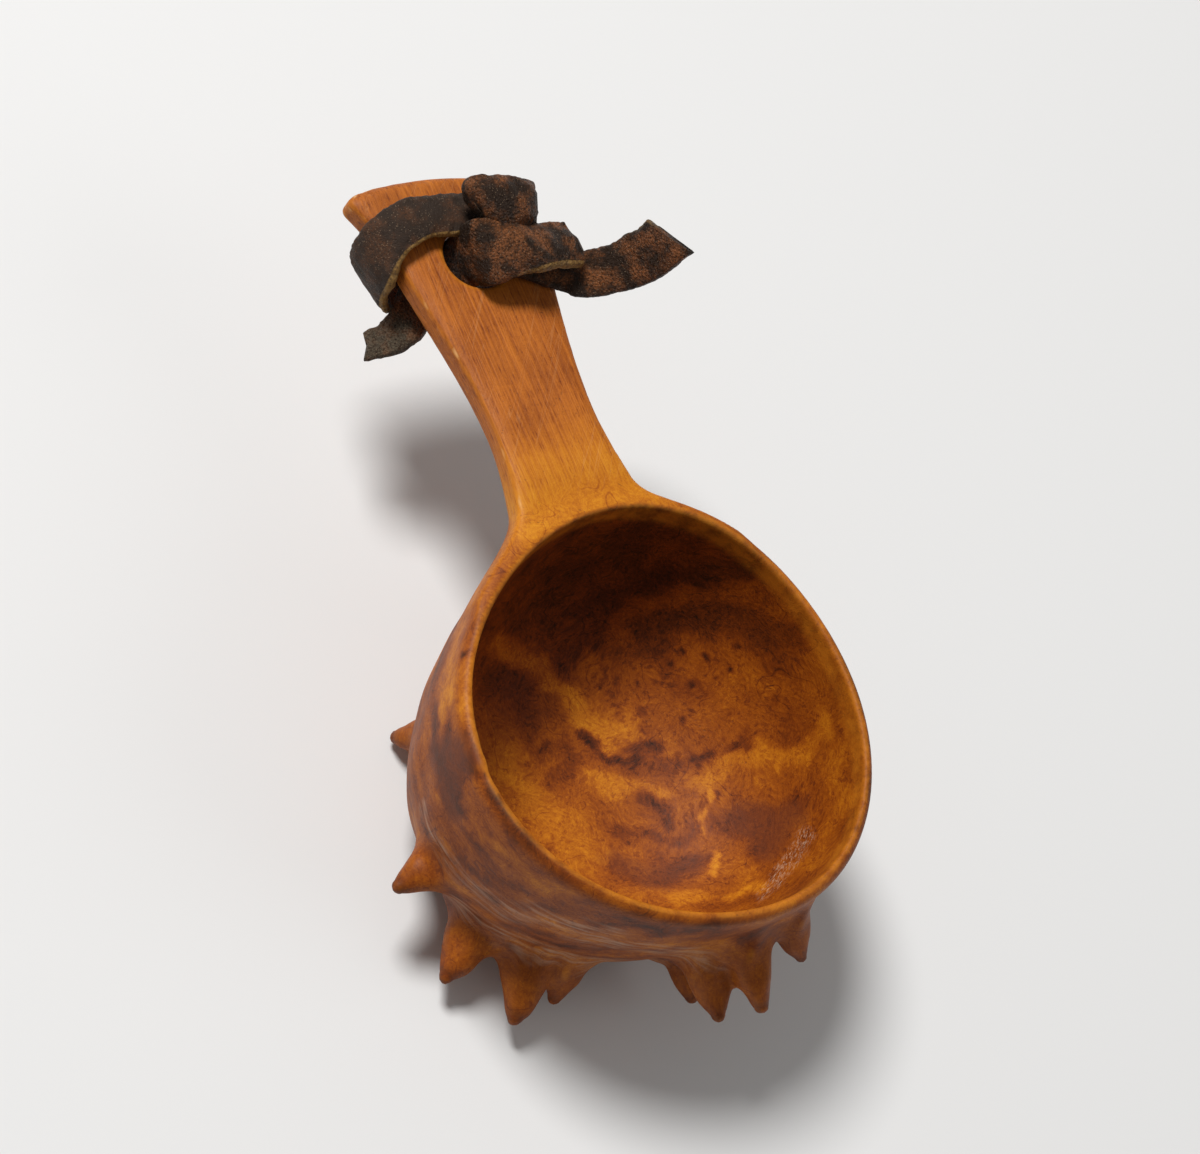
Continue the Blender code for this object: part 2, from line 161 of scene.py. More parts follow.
thong = {
    "eyeX": -96.5, "handleTop": 51.7,
    "width": 8.6, "thickness": 2.0, "step": 0.4, "around": 48, "perSpan": 40,
    "route": (
        (7.8, -20.9, -15.4, 20), (7.7, -16.8, -13.6, 16), (5.9, -12.9, -12.1, 8), (2.4, -9.6, -11.3, 0),
        (0.3, -6.7, -10.2, 0), (0, -4.3, -7.9, 0), (0, -2.8, -4.4, 0), (0.2, -2.6, -0.8, 0),
        (1.2, -2.8, 2.7, 0), (2.8, -2.3, 6, -6), (3.7, 1, 8.7, -14), (3.9, 5.6, 9.7, -16),
        (3.9, 10.8, 9.1, -12), (3.8, 15.4, 7.5, -4), (3.5, 17.7, 5.7, 0), (3, 15.8, 4.4, 0),
        (2.3, 11.8, 4.3, 0), (0.5, 8, 4.7, 0), (-3.4, 4.2, 5, 0), (-6.1, 0.9, 6.2, -10),
        (-6.8, -1.4, 8.9, -22), (-5.8, 0.6, 11.5, -27), (-5.4, 4.8, 12.2, -30), (-5.7, 9, 10.9, -30),
        (-7.1, 12.2, 7.9, -24), (-8.6, 13, 4.6, -8), (-9, 11, 2, 0), (-8.7, 6.6, 1.45, 0),
        (-8.5, 1, 1.8, 0), (-8.4, -5, 2.8, 0), (-8.1, -11, 3.7, 4), (-6.9, -17.2, 3.2, 14),
        (-5.2, -20.9, -0.6, 18), (-4.2, -20.6, -6, 16), (-4, -17.9, -11.2, 8), (-3.9, -13.4, -14.9, 0),
        (-2.7, -8.3, -15.9, 0), (-1.1, -3.4, -14.6, 0), (-0.4, 0.5, -11.5, 0), (-0.2, 2.4, -7.4, 0),
        (0, 2.7, -2.6, 0), (0.6, 3.8, 1.2, 0), (1.8, 7, 2.2, 0), (4.2, 11.4, 1.6, 0),
        (6.8, 16.4, 1.5, 0), (9, 21.2, 2.6, 0), (10.3, 25.8, 6, 0), (10.9, 29, 11, 0),
        (11, 31.2, 17.2, 0),
    ),
    # powers of the section: the smaller, the squarer
    "acrossPower": 0.36, "throughPower": 0.5,
    # a wave is a wavelength and a seed
    "wavyEdge": 0.22, "rightWave": (11.0, 3), "leftWave": (9.0, 4),
    "dents": 0.09, "dentWave": (2.2, 5), "fineDentWave": (1.1, 6), "fineDents": 0.7,
    "crumple": 0.13, "knotCrumple": 0.34, "crumpleWave": (6.5, 7), "knotRun": (34.0, 46.0, 100.0, 110.0),
    "endSlant": 0.75, "endSlantRun": 9.0, "startSlant": -0.35, "startSlantRun": 6.0,
    "ragged": 0.7, "raggedWave": (1.9, 8), "startRagged": 4.0, "endRagged": 3.0, "endRaggedShare": 0.3,
    "startThin": 0.35, "startThinRun": 5.0,
    "edgeBand": (0.80, 0.95), "fleshBand": (-0.3, 0.3), "capOchre": 0.3,
    # along the run, millimetres: half width on the +X and the -X side, roll added in degrees,
    # drop of the edges, and ochre on the two edges
    "rightHalf": (
        (0, 2.8), (5, 3.6), (12, 4.4), (25, 5.7), (33, 5.9), (44, 5.3), (56, 4.9), (66, 4.4), (76, 4.8),
        (84, 5.8), (90, 7.0), (96, 6.6), (101, 5.0), (108, 4.4), (130, 4.4), (138, 5.6), (146, 6.8),
        (156, 6.4), (165, 4.6), (177, 5.6), (188, 5.8), (197, 4.8), (210, 4.9), (219, 5.3), (226, 5.7),
    ),
    "leftHalf": (
        (0, 4.0), (18, 4.4), (25, 5.8), (30, 6.2), (35, 7.0), (40, 7.0), (46, 5.6), (52, 4.6), (66, 4.3),
        (78, 4.6), (85, 5.0), (90, 4.4), (95, 3.2), (100, 2.4), (105, 2.8), (112, 4.4), (165, 4.4),
        (177, 5.2), (188, 5.0), (197, 4.6), (210, 4.8), (219, 5.2), (226, 5.6),
    ),
    "moreRoll": (
        (0, 0), (30, 0), (37, -5), (42, 4), (48, 22), (54, 14), (60, 0), (80, 0), (88, 8), (96, 10),
        (103, 0), (226, 0),
    ),
    "edgeDrop": (
        (0, 0.2), (20, 0.2), (34, 0.9), (42, 1.9), (50, 1.6), (58, 0.6), (66, 0.1), (78, 1.0), (85, 2.3),
        (93, 2.1), (101, 0.7), (108, -0.4), (125, -0.6), (145, -0.5), (160, 0.0), (190, 0.2), (205, 0.5),
        (226, 0.3),
    ),
    "rightOchre": (
        (0, 0.1), (30, 0.1), (42, 0.5), (50, 1.0), (60, 1.0), (66, 0.2), (76, 0.1), (98, 0.2), (108, 0.9),
        (118, 1.0), (150, 1.0), (165, 0.4), (190, 0.15), (226, 0.1),
    ),
    "leftOchre": (
        (0, 0.1), (60, 0.1), (80, 0.3), (95, 0.15), (120, 0.25), (150, 0.1), (210, 0.1), (220, 0.5),
        (226, 0.6),
    ),
}


# Catmull-Rom curve through the route and its roll, then points at even steps along it
def evenRoute(route, step):
    way = np.array(route, float)
    held = np.vstack([2 * way[0] - way[1], way, 2 * way[-1] - way[-2]])
    t = np.linspace(0.0, 1.0, thong["perSpan"], endpoint=False)[:, None]
    a, b, c, d = (held[i:len(held) - 3 + i, None, :] for i in range(4))
    curve = 0.5 * (2 * b + (c - a) * t + (2 * a - 5 * b + 4 * c - d) * t ** 2
                   + (3 * b - a - 3 * c + d) * t ** 3)
    curve = np.vstack([curve.reshape(-1, 4), way[-1:]])
    run = np.concatenate([[0.0], np.cumsum(np.linalg.norm(np.diff(curve[:, :3], axis=0), axis=1))])
    even = np.linspace(0.0, run[-1], int(run[-1] / step) + 1)
    points = np.stack([np.interp(even, run, curve[:, k]) for k in range(4)], axis=1)
    return points[:, :3], np.radians(points[:, 3:]), even


# the width follows the X direction, square to the heading, and is then rolled about it
def stripAxes(points, roll):
    heading = unit(np.gradient(points, axis=0))
    across = unit(xAxis - heading * heading[:, :1])
    lift = np.cross(across, heading)
    rolled = across * np.cos(roll) + lift * np.sin(roll)
    return heading, rolled, np.cross(rolled, heading)


# quads between the rings of a tube, and fans from its end rings to the two points that follow the rings
def tubeFaces(rows, cols):
    i, j = np.meshgrid(np.arange(rows - 1), np.arange(cols), indexing="ij")
    k = (j + 1) % cols
    sides = np.stack([i * cols + j, (i + 1) * cols + j, (i + 1) * cols + k, i * cols + k], axis=-1)
    ring = np.arange(cols)
    following = (ring + 1) % cols
    top = (rows - 1) * cols
    startFan = np.stack([ring, following, np.full(cols, rows * cols)], axis=1)
    endFan = np.stack([top + following, top + ring, np.full(cols, rows * cols + 1)], axis=1)
    return sides.reshape(-1, 4).tolist() + startFan.tolist() + endFan.tolist()


# rounded-rectangle section, u across and v through, carried along the route:
# each side has its own wavy half width, the edges drop, and the ends are slanted, ragged and thinned
def stripSkin(points, roll, along, side, u, v):
    t = thong
    end = along[-1]
    heading, across, lift = stripAxes(points, roll + np.radians(eased(t["moreRoll"], along))[:, None])
    line = along[:, None] * xAxis
    right = eased(t["rightHalf"], along) + t["wavyEdge"] * ripple(line, *t["rightWave"])
    left = eased(t["leftHalf"], along) - t["wavyEdge"] * ripple(line, *t["leftWave"])
    wide = side * np.where(side > 0, right[:, None], left[:, None])
    drop = eased(t["edgeDrop"], along)[:, None] * side ** 2
    slant = t["endSlant"] * smoothStep(end - t["endSlantRun"], end, along)
    slant += t["startSlant"] * smoothStep(t["startSlantRun"], 0.0, along)
    torn = smoothStep(t["startRagged"], 0.0, along)
    torn += t["endRaggedShare"] * smoothStep(end - t["endRagged"], end, along)
    torn = torn[:, None] * t["ragged"] * ripple(u[:, None] * xAxis, *t["raggedWave"])
    thin = 1.0 - t["startThin"] * smoothStep(t["startThinRun"], 0.0, along)[:, None]
    skin = (points[:, None, :] + across[:, None, :] * wide[..., None]
            + lift[:, None, :] * (v * thin - drop)[..., None]
            + heading[:, None, :] * (slant[:, None] * u + torn)[..., None])
    outward = unit(across[:, None, :] * (u / t["width"] ** 2)[:, None]
                   + lift[:, None, :] * (v / t["thickness"] ** 2)[:, None])
    return skin, outward


def makeThong():
    t = thong
    points, roll, along = evenRoute(t["route"], t["step"])
    points = points + np.array([t["eyeX"], 0.0, t["handleTop"]])
    end = along[-1]
    turn = np.linspace(0.0, 2.0 * np.pi, t["around"], endpoint=False)
    c, s = np.cos(turn), np.sin(turn)
    side = np.sign(c) * np.abs(c) ** t["acrossPower"]
    u = side * t["width"] / 2
    v = np.sign(s) * np.abs(s) ** t["throughPower"] * t["thickness"] / 2
    skin, outward = stripSkin(points, roll, along, side, u, v)
    rows, cols = skin.shape[:2]
    spots = skin.reshape(-1, 3)
    # dents all over, and a crumple that is stronger in the knot
    knot = np.repeat(hump(*t["knotRun"], along), cols)
    rough = t["dents"] * (ripple(spots, *t["dentWave"]) + t["fineDents"] * ripple(spots, *t["fineDentWave"]))
    rough += (t["crumple"] + t["knotCrumple"] * knot) * ripple(spots, *t["crumpleWave"])
    flat = spots + outward.reshape(-1, 3) * rough[:, None]
    flat = np.vstack([flat, flat[:cols].mean(0), flat[-cols:].mean(0)])
    faces = tubeFaces(rows, cols)
    piece = newPiece("leather_thong_strip", flat, faces)
    ochre = [eased(t[name], along)[:, None] for name in ("rightOchre", "leftOchre")]
    edge = smoothStep(*t["edgeBand"], np.abs(side)) * np.where(side > 0, *ochre)
    flesh = np.tile(smoothStep(*t["fleshBand"], v), rows)
    storeMask(piece, "cutEdge", np.append(edge.ravel(), [t["capOchre"]] * 2))
    storeMask(piece, "fleshSide", np.append(flesh, [1.0, 1.0]))
    storeMask(piece, "runMm", np.append(np.repeat(along, cols), [0.0, end]))
    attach(piece, "thong")
    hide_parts("leather_thong")
    print("thong: %d faces, %.1f mm long" % (len(faces), end))
    return piece


strip = makeThong()


# cup: one field over space, negative in the wood, millimetres and degrees;
# its skin is netted and then drawn onto the zero level

cup = {
    "rimHeight": 52.0, "mouth": 40.0, "wall": 2.6, "lobe": 1.15, "lobeTurn": 104.0,
    "outerDepth": 57.0, "outerSquare": 2.56, "innerDepth": 43.0, "innerSquare": 2.6,
    "lean": (5.0, -4.6), "drawIn": 3.0, "front": -21.0, "frontPower": 4, "lipRound": 0.9, "footRound": 0.5,
    "kinkTurn": -90.0, "kinkStep": 0.55, "kinkRun": (-34.0, -3.0, -1.0, 3.0),
    "rimWave": 0.18, "rimWaves": 5, "rimPhase": 1.0,
    "handleTop": 51.7, "handleThick": 6.2, "handleSquare": 6.5, "handleStart": 24.0,
    "handleEnd": 115.1, "endRound": 3.0, "neckBlend": 5.0, "topRound": 3.0,
    # the rim's cut lets go of the handle between these X, and rises this much above it
    "rimFrom": (-58.0, -42.0), "handleFree": 4.0,
    "endShift": -2.0, "bowRadius": 62.0, "bowSide": -7.0, "bowMost": 1.2, "bowPasses": 3,
    # along the handle: width, depth, and power of the section's lower half
    "widths": ((30.0, 55.3), (46.0, 26.4), (61.0, 22.7), (96.5, 32.2), (115.1, 40.0)),
    "depths": ((30.0, 26.0), (46.0, 8.6), (61.0, 6.2), (115.1, 6.2)),
    "squares": ((30.0, 1.7), (61.0, 5.0), (115.1, 6.5)),
    "eyeX": -96.5, "eyeRadius": 6.6, "eyeRound": 1.4,
    "thornBlend": 3.4, "thornTip": 1.4, "thornSink": 3.5, "thornTaper": 0.78, "thornEase": 0.88,
    "thornNear": 16.0, "turnStep": 0.005, "depthStep": 0.2, "floorGap": 0.4,
    # a wave is a wavelength and a seed
    "thornRough": 0.35, "thornWave": (5.5, 12), "thornCalm": 0.6,
    "carving": 0.2, "carvingWave": (13.0, 11), "carvingFade": (50.0, 36.0),
    "cell": 0.70, "block": 4, "reach": 4.5, "margin": 3.0,
    "drawPasses": 3, "drawMost": 0.3, "leastSlope": 0.2, "leastPull": 0.02, "leastLevel": 1e-6, "tiny": 1e-9,
    # bands of the masks, and the bend of the figure's edges: wavelength, amount and seed
    "insideBand": (0.9, 0.2), "insideLow": 5.0, "thornBand": (2.0, 0.3),
    "handleBand": (0.5, 7.0), "handleFrom": (-40.0, -46.0), "bendReach": 0.7, "maskBend": (5.0, 0.8, 51),
    "lipBand": (-0.35, 0.0, 0.4, 1.3), "lipHeight": (46.0, 49.0),
    # direction in degrees, depth below the rim, length, foot radius, droop
    "thorns": (
        (-134, 43.5, 8.5, 5.3, 0.5), (-82, 33.0, 9.0, 6.0, -0.1), (-61, 42.0, 13.0, 7.4, -0.2),
        (-41, 42.0, 15.0, 7.6, -0.2), (-28, 40.5, 10.0, 5.3, 0.6), (12, 38.0, 10.5, 5.1, 0.0),
        (6, 26.5, 13.5, 6.9, 0.1), (12, 19.5, 15.0, 6.0, 0.3), (24, 16.5, 11.5, 5.5, 0.6),
        (58, 36.0, 11.5, 6.2, 0.1), (92, 40.0, 12.0, 6.7, 0.0), (124, 36.0, 10.5, 5.8, 0.1),
        (158, 42.0, 10.0, 5.8, 0.2),
    ),
}
innerBowl = (cup["mouth"], cup["innerDepth"], cup["innerSquare"])
outerBowl = (cup["mouth"] + cup["wall"], cup["outerDepth"], cup["outerSquare"])


# smooth least and greatest of two fields: they meet in a fillet of about the given size
def blendLeast(a, b, size):
    h = np.clip(0.5 + 0.5 * (b - a) / size, 0.0, 1.0)
    return b + (a - b) * h - size * h * (1.0 - h)


def blendMost(a, b, size):
    return -blendLeast(-a, -b, size)


# share of the draw-in at a direction: all of it at the front, none at the back
def frontShare(turn):
    return np.maximum(0.0, np.cos(turn - math.radians(cup["front"]))) ** cup["frontPower"]


# radius with three slight lobes
def lobed(radius, turn):
    return radius + cup["lobe"] * np.cos(3 * turn - math.radians(cup["lobeTurn"]))


# lobed, leaning superellipse bowl with its front drawn in: distance along the ray from the mouth's centre
def bowlField(x, y, z, radius, roundDepth, square):
    depth = np.maximum(cup["rimHeight"] - z, 0.0)
    px = x - cup["lean"][0] * depth / cup["outerDepth"]
    py = y - cup["lean"][1] * depth / cup["outerDepth"]
    turn = np.arctan2(py, px)
    share = np.clip(depth / roundDepth, 0.0, 1.0)
    reach = np.hypot(px, py) + cup["drawIn"] * frontShare(turn) * np.sin(np.pi * share)
    level = ((reach / lobed(radius, turn)) ** square + (depth / roundDepth) ** square) ** (1.0 / square)
    return np.hypot(reach, depth) * (1.0 - 1.0 / np.maximum(level, cup["leastLevel"]))


# share of the bow at a distance along the handle: none at the eye, all of it at the end
def bowShare(reach):
    eye, end = -cup["eyeX"], cup["handleEnd"]
    return np.clip((reach - eye) / (end - eye), 0.0, cup["bowMost"]) ** 2


# flat handle: superellipse sections along -X, deeper and rounder under the root, to a bowed and lopsided end
def handleField(x, y, z):
    reach = -x
    for _ in range(cup["bowPasses"]):
        reach = bowShare(reach) * (y - cup["bowSide"]) ** 2 / (2 * cup["bowRadius"]) - x
    half = eased(cup["widths"], reach) / 2
    over = cup["handleThick"] / 2
    below = eased(cup["depths"], reach) - over
    rise = z - (cup["handleTop"] - over)
    power = np.where(rise > 0, cup["handleSquare"], eased(cup["squares"], reach))
    tall = np.where(rise > 0, over, below)
    a = np.abs(y - cup["endShift"] * bowShare(reach)) / half + cup["tiny"]
    b = np.abs(rise) / tall + cup["tiny"]
    level = (a ** power + b ** power) ** (1.0 / power)
    pull = level ** (1.0 - power) * np.hypot(a ** (power - 1) / half, b ** (power - 1) / tall)
    body = (level - 1.0) / np.maximum(pull, cup["leastPull"])
    ends = np.maximum(reach - cup["handleEnd"], cup["handleStart"] - reach)
    return blendMost(body, ends, cup["endRound"])


# point of the outer wall at a direction and a depth below the rim
def outerPoint(turn, depth):
    radius, roundDepth, square = outerBowl
    share = depth / roundDepth
    fall = (1.0 - share ** square) ** (1.0 / square)
    reach = lobed(radius, turn) * fall - cup["drawIn"] * frontShare(turn) * math.sin(math.pi * share)
    return np.array([reach * math.cos(turn) + cup["lean"][0] * share,
                     reach * math.sin(turn) + cup["lean"][1] * share, cup["rimHeight"] - depth])


# root, tip, axis and foot radius of each thorn, along the wall's normal turned down by its droop
def thornAxes():
    found = []
    for degrees, depth, length, foot, droop in cup["thorns"]:
        turn = math.radians(degrees)
        along = outerPoint(turn + cup["turnStep"], depth) - outerPoint(turn - cup["turnStep"], depth)
        down = outerPoint(turn, depth + cup["depthStep"]) - outerPoint(turn, depth - cup["depthStep"])
        normal = unit(np.cross(down, along))
        normal *= np.sign(normal @ np.array([math.cos(turn), math.sin(turn), 0.0]))
        base = outerPoint(turn, depth)
        tip = base + unit(normal + np.array([0.0, 0.0, -droop])) * (length - cup["thornTip"])
        tip[2] = max(tip[2], cup["floorGap"] + cup["thornTip"])
        axis = unit(tip - base)
        found.append((base - axis * cup["thornSink"], tip, axis, foot))
    return found


# blunt cone from its foot to a half ball at the tip; also the share of the way to the tip
def thornField(points, root, tip, axis, foot):
    away = points - root
    length = np.linalg.norm(tip - root)
    t = away @ axis
    share = np.clip(t / length, 0.0, 1.0)
    aside = np.linalg.norm(away - t[:, None] * axis, axis=1)
    radius = cup["thornTip"] + (foot - cup["thornTip"]) * (1.0 - share) ** cup["thornTaper"]
    beyond = np.hypot(aside, np.maximum(t - length, 0.0)) - radius
    return np.maximum(beyond * cup["thornEase"], -t), share


axesOfThorns = thornAxes()


# height of the rim: slow waves and one small step where the carver's cuts meet
def rimTop(x, y):
    turn = np.arctan2(y, x)
    step = cup["kinkStep"] * hump(*cup["kinkRun"], np.degrees(turn) - cup["kinkTurn"])
    return cup["rimHeight"] + cup["rimWave"] * np.sin(cup["rimWaves"] * turn + cup["rimPhase"]) + step


# outer bowl, thorns and handle, cut off at the rim and the foot, hollowed and pierced by the eye
def cupField(points):
    x, y, z = points.T
    outside = bowlField(x, y, z, *outerBowl)
    outside += cup["carving"] * ripple(points, *cup["carvingWave"]) * smoothStep(*cup["carvingFade"], z)
    for root, tip, axis, foot in axesOfThorns:
        middle = 0.5 * (root + tip)
        near = np.flatnonzero(np.abs(points - middle).max(axis=1) < cup["thornNear"])
        if len(near):
            thorn, share = thornField(points[near], root, tip, axis, foot)
            rough = cup["thornRough"] * ripple(points[near], *cup["thornWave"])
            thorn += rough * (1.0 - cup["thornCalm"] * share)
            outside[near] = blendLeast(outside[near], thorn, cup["thornBlend"])
    wood = blendLeast(outside, handleField(x, y, z), cup["neckBlend"])
    top = rimTop(x, y) + cup["handleFree"] * (1.0 - smoothStep(*cup["rimFrom"], x))
    wood = blendMost(wood, z - top, cup["topRound"])
    wood = blendMost(wood, -z, cup["footRound"])
    wood = blendMost(wood, -bowlField(x, y, z, *innerBowl), cup["lipRound"])
    eye = np.hypot(x - cup["eyeX"], y) - cup["eyeRadius"]
    return blendMost(wood, -eye, cup["eyeRound"])


# field on the whole grid, worked out finely only in blocks that the skin may cross
def gridField(low, count):
    block, cell = cup["block"], cup["cell"]
    coarse = np.ceil(count / block).astype(int)
    spots = np.stack(np.meshgrid(*[np.arange(n) for n in coarse], indexing="ij"), axis=-1).reshape(-1, 3)
    spread = cupField(low + (spots * block + 0.5 * (block - 1)) * cell).reshape(coarse)
    for axis in range(3):
        spread = np.repeat(spread, block, axis)
    spread = spread[:count[0], :count[1], :count[2]].copy()
    near = np.argwhere(np.abs(spread) < cup["reach"])
    spread[tuple(near.T)] = cupField(low + near * cell)
    return spread


# one point in each cell that the skin crosses, at the mean of its edge crossings,
# and one quad for each crossed edge
def netSkin(field, low, cell):
    inside = field < 0
    corner = np.array([[i, j, k] for i in (0, 1) for j in (0, 1) for k in (0, 1)])
    nx, ny, nz = (n - 1 for n in field.shape)
    filled = sum(inside[i:i + nx, j:j + ny, k:k + nz].astype(np.int8) for i, j, k in corner)
    crossed = np.argwhere((filled > 0) & (filled < 8))
    at = crossed[:, None, :] + corner[None, :, :]
    value = field[at[..., 0], at[..., 1], at[..., 2]]
    pairs = [(a, b) for a in range(8) for b in range(a + 1, 8) if abs(corner[a] - corner[b]).sum() == 1]
    a, b = np.array(pairs).T
    cut = (value[:, a] < 0) != (value[:, b] < 0)
    share = np.where(cut, value[:, a] / np.where(cut, value[:, a] - value[:, b], 1.0), 0.0)
    spot = corner[a] + share[..., None] * (corner[b] - corner[a])
    spot = (spot * cut[..., None]).sum(axis=1) / cut.sum(axis=1)[:, None]
    points = low + (crossed + spot) * cell
    number = np.full((nx, ny, nz), -1)
    number[tuple(crossed.T)] = np.arange(len(crossed))
    quads = []
    for axis in range(3):
        first = np.take(inside, np.arange(field.shape[axis] - 1), axis)
        second = np.take(inside, np.arange(1, field.shape[axis]), axis)
        edges = np.argwhere(first != second)
        out = first[tuple(edges.T)]
        one, two = np.eye(3, dtype=int)[(axis + 1) % 3], np.eye(3, dtype=int)[(axis + 2) % 3]
        loop = [number[tuple((edges - one * p - two * q).T)] for p, q in ((1, 1), (0, 1), (0, 0), (1, 0))]
        quad = np.stack(loop, axis=1)
        quads.append(np.where(out[:, None], quad, quad[:, ::-1]))
    return points, np.vstack(quads)


def fieldSlope(points, step=0.05):
    moves = np.eye(3) * step
    return np.stack([(cupField(points + m) - cupField(points - m)) / (2 * step) for m in moves], axis=1)


# marks in the burl's figure: tone from -1, dark, to 1, golden; half width in millimetres; and its places,
# either two numbers picked in an enlarged part of the photo, or three in millimetres

redWall = ((1000, 1180), (1080, 1200), (1150, 1180), (1200, 1150), (1100, 1270))
redFloor = ((560, 1340), (650, 1380), (760, 1370), (840, 1320))
redOutside = ((-4, -43, 50), (-7, -43, 39), (-2, -44, 42), (2, -44, 40))

figure = {
    # wall that is seen, and the enlarged part of the photo: its corner in pixels, and its enlargement
    "innerWall": (innerBowl, (460, 490), 3.563), "outerWall": (outerBowl, (370, 680), 4.356),
    # heights above the rim between which a line of sight is followed, and its number of steps
    "sightFrom": 40.0, "sightTo": -60.0, "sightSteps": 4001,
    "inside": (
        (-0.6, 5, ((330, 290), (480, 330), (600, 350), (760, 320), (960, 310))),
        (-0.35, 6, ((200, 420), (330, 440), (440, 520))),
        (-0.75, 4.5, ((680, 480), (800, 450), (940, 450), (1080, 500), (1180, 530))),
        (-0.35, 6, ((1150, 640), (1200, 760), (1180, 840))),
        (0.35, 2.6, ((540, 520), (600, 440), (700, 390), (800, 372), (920, 372), (1030, 345))),
        (0.8, 3, ((140, 540), (250, 620), (340, 690), (400, 760), (450, 830), (540, 890), (620, 880))),
        (0.5, 2.5, ((440, 600), (470, 700), (500, 800), (560, 860), (600, 800))),
        (-0.6, 0.8, ((480, 450), (470, 560), (490, 700))),
        (-0.6, 0.8, ((519, 469), (515, 600), (530, 700))),
        (-0.5, 0.7, ((560, 560), (545, 640), (560, 700))),
        (-0.6, 0.8, ((640, 700), (630, 800), (640, 870))),
        (-0.5, 0.8, ((1040, 560), (1090, 620), (1115, 700), (1118, 760))),
        (-0.45, 3, ((560, 980), (640, 980), (700, 970), (780, 1000))),
        (0.8, 2.2, ((500, 1040), (600, 1050), (700, 1070), (800, 1040), (880, 1040))),
        (0.8, 2.6, ((920, 1000), (980, 950), (1060, 930), (1150, 960), (1230, 940), (1290, 860))),
        (-1.0, 1.7, ((440, 870), (480, 915), (540, 950), (610, 945), (680, 915), (740, 890))),
        (-0.8, 1.1, ((790, 1000), (860, 960), (950, 925), (1030, 895), (1090, 875))),
        (-0.7, 3.5, ((130, 660), (200, 720), (250, 780), (230, 860))),
        (-0.7, 3.2, ((300, 930), (360, 950), (400, 1000), (330, 1010))),
        (0.6, 3, ((150, 980), (230, 1050), (330, 1130), (420, 1200), (480, 1300))),
        (-0.9, 2.2, ((650, 1120), (700, 1140), (740, 1150))),
        (-0.6, 2.4, ((540, 1220), (600, 1250), (680, 1240), (780, 1240), (840, 1200))),
        (-0.55, 3, redFloor),
        (-0.5, 4.5, redWall),
        (0.9, 1.3, ((890, 1080), (895, 1180), (890, 1290), (900, 1370))),
        (-1.0, 0.7, ((918, 1080), (915, 1180), (920, 1260))),
        (1.0, 2.2, ((780, 1440), (900, 1450), (1000, 1440), (1080, 1410))),
        (0.3, 4, ((1330, 960), (1350, 1080), (1320, 1200), (1270, 1320))),
    ),
    "eyes": (
        (-0.9, 1.0, ((790, 575),)), (-0.9, 1.1, ((875, 600),)), (-0.9, 1.0, ((825, 690),)),
        (-0.8, 0.9, ((745, 625),)), (-0.8, 0.9, ((990, 560),)), (-0.8, 0.9, ((960, 640),)),
        (-0.8, 1.0, ((820, 790),)), (-0.8, 0.9, ((790, 830),)), (-0.6, 0.8, ((700, 680),)),
        (-0.6, 0.8, ((910, 655),)),
    ),
    "scuff": ((1.0, 3.4, ((1230, 1240), (1180, 1320), (1130, 1390), (1100, 1430))),),
    "insideRed": ((0.8, 4.5, redWall), (0.5, 3, redFloor)),
    "outside": (
        # golden below the rim's left side, by the neck: partly a painted highlight
        (0.8, 7, ((-36, -25, 45), (-28, -33, 45), (-20, -38, 46))),
        (1.0, 1.3, ((0, -42, 51.5),)), (-1.0, 0.9, ((1.5, -42.5, 51), (3, -43, 48))),
        (-1.0, 1.3, ((-20.5, -36.5, 51.8),)),
        (0.8, 3, ((340, 60), (320, 180), (300, 250))),
        (-0.7, 5, redOutside),
        (0.5, 4, ((440, 480), (470, 600), (540, 680))),
        (-0.35, 4, ((7, -41, 51), (14, -39, 51), (21, -35, 50), (27, -31, 50), (34, -24, 50))),
        (-0.6, 2, ((22, -33, 16), (26, -28, 14), (29, -22, 14))),
        (-0.5, 4, ((40, -12, 49), (42, -2, 44), (42, 7, 38))),
    ),
    "outsideRed": ((0.8, 5, redOutside),),
    "worn": (
        (0.9, 3, ((250, 600), (300, 700), (380, 830), (500, 930))),
        (0.8, 5, ((20, -38, 28), (25, -34, 34), (30, -30, 36), (33, -25, 38))),
        (0.9, 5, ((33, -24, 32), (36, -18, 34), (40, -5, 31), (41, 2, 27))),
        (1.0, 5, ((14, -37, 18), (26, -28, 18), (34, -15, 17), (37, -2, 17))),
    ),
    # thin marks are drawn more firmly, and every mark has a soft edge, in half widths
    "thinHalf": 2.0, "thinFirm": 1.35, "softEdge": (1.25, 0.3),
    "outsideWeight": 0.55, "insideWeight": 0.52, "eyeWeight": 0.6,
    # bends are wavelength, amount and seed; waves are amount, wavelength and seed
    "bend": (8.0, 0.9, 31), "fineBend": (2.6, 0.35, 36), "eyeBend": (2.6, 0.25, 36), "flatten": 2.2,
    "outerTone": 0.45, "outerWave": (0.12, 24.0, 41), "outerFineWave": (0.08, 9.0, 43),
    "thornTone": 0.50, "thornFrom": (0.1, 0.5), "tipDark": 0.10, "tipFrom": (0.75, 1.0),
    "neckTone": 0.80, "neckShare": 0.9, "neckX": (-30.0, -44.0), "neckZ": (42.0, 50.0),
    "stemTone": 0.66, "stemWave": (0.03, 12.0, 44), "rootGold": 0.16, "rootX": (-66.0, -44.0),
    # inside: a dark tone, partly painted shade by the handle, and golden away from the handle, partly painted
    # light
    "innerToneAndShade": 0.20, "frontGoldAndLight": 0.32, "frontX": (-36.0, -6.0), "nearGold": 0.10, "nearY": (14.0, -14.0),
    "innerWave": (0.05, 9.0, 42),
}


